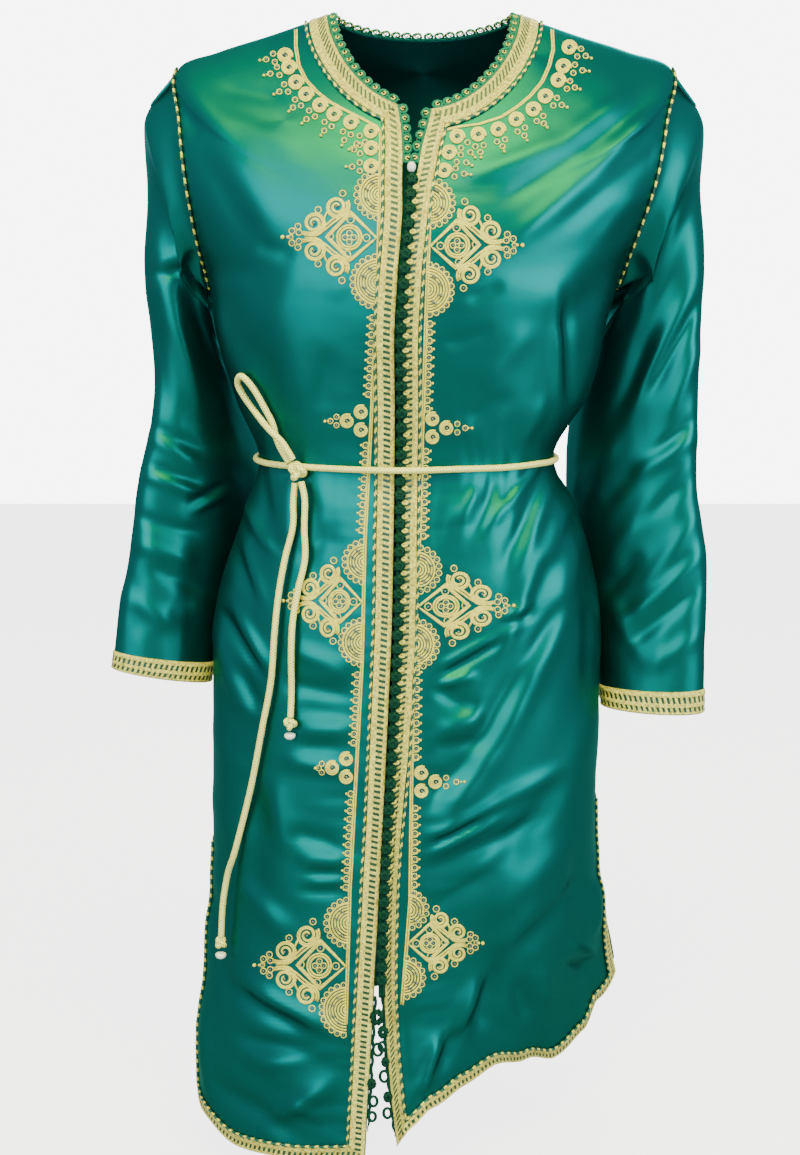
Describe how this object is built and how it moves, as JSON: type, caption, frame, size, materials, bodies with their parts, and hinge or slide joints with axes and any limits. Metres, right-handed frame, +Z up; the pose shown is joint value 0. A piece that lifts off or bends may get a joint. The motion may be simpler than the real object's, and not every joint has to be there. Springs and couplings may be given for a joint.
{
  "type": "kaftan tunic with its own tied cord belt",
  "caption": "Short satin kaftan tunic with long sleeves, worn shape, gold braid on every edge, a full row of silk knots down the front and a tied cord belt.",
  "frame": {"origin": "middle of the neck hole at the height of the shoulder points beside the neck, where the wearer's shoulders hold the tunic", "axes": "+Z up along the body, +X to the left of the wearer (the viewer's right), front opening towards -Y"},
  "size_m": [0.5803, 0.3067, 1.0598],
  "materials": {
    "satin": "glossy emerald and teal satin",
    "gold": "pale gold braid and cord",
    "silk": "dark green silk cord",
    "pearl": "pearl white"
  },
  "bodies": {
    "root": {"front_left": "satin", "front_right": "satin", "back": "satin", "sleeve_left": "satin", "sleeve_right": "satin", "closure_knots": "silk", "neck_edging_left": "silk", "neck_edging_right": "silk", "neck_edging_back": "silk", "lower_loops_left": "silk", "lower_loops_right": "silk", "neck_bead": "pearl", "tail_cap_short": "pearl", "tail_cap_long": "pearl", "braid_left": "gold", "braid_right": "gold", "neck_braid_back": "gold", "hem_braid_back": "gold", "cuff_braid_left": "gold", "cuff_braid_right": "gold", "armhole_piping_left": "gold", "armhole_piping_right": "gold", "belt_waist": "gold", "belt_knot": "gold", "belt_loop": "gold", "belt_tail_short": "gold", "belt_tail_long": "gold", "tail_knot_short": "gold", "tail_knot_long": "gold"}
  },
  "joints": []
}
